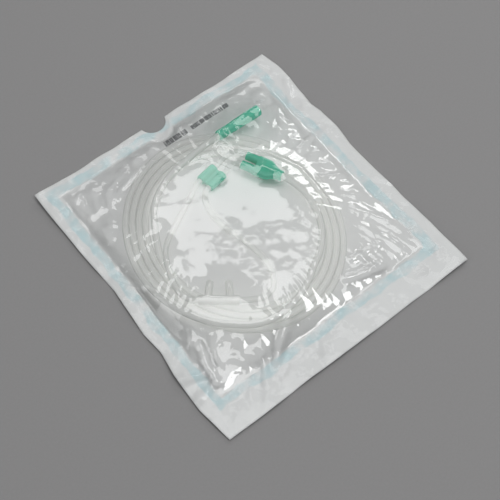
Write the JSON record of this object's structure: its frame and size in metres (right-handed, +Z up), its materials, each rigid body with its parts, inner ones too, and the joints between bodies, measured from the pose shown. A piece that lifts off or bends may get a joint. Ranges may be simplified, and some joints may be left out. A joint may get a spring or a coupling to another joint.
{
  "type": "nasal oxygen cannula in sealed peel pouch",
  "caption": "Clear oxygen tube in a flat coil with green funnel connector, Y-piece and slider, thin head tubes and nasal prongs, sealed in a paper-backed clear film pouch.",
  "frame": {"origin": "on the table under the middle of the pouch", "axes": "+Z up through the film, +Y towards the edge with the thumb notch, +X to the right"},
  "size_m": [0.2, 0.22, 0.0148],
  "materials": {
    "paper": "matt medical paper",
    "film": "clear glossy film",
    "tube": "clear soft vinyl",
    "fitting": "translucent green vinyl"
  },
  "bodies": {
    "root": {"pouch_paper": "paper", "pouch_film": "film", "supply_coil": "tube", "supply_lead_funnel": "tube", "supply_lead_y": "tube", "supply_connector": "fitting", "y_connector": "fitting", "slider": "fitting", "nasal_prongs": "tube", "head_tube_left": "tube", "head_tube_right": "tube"}
  },
  "joints": []
}
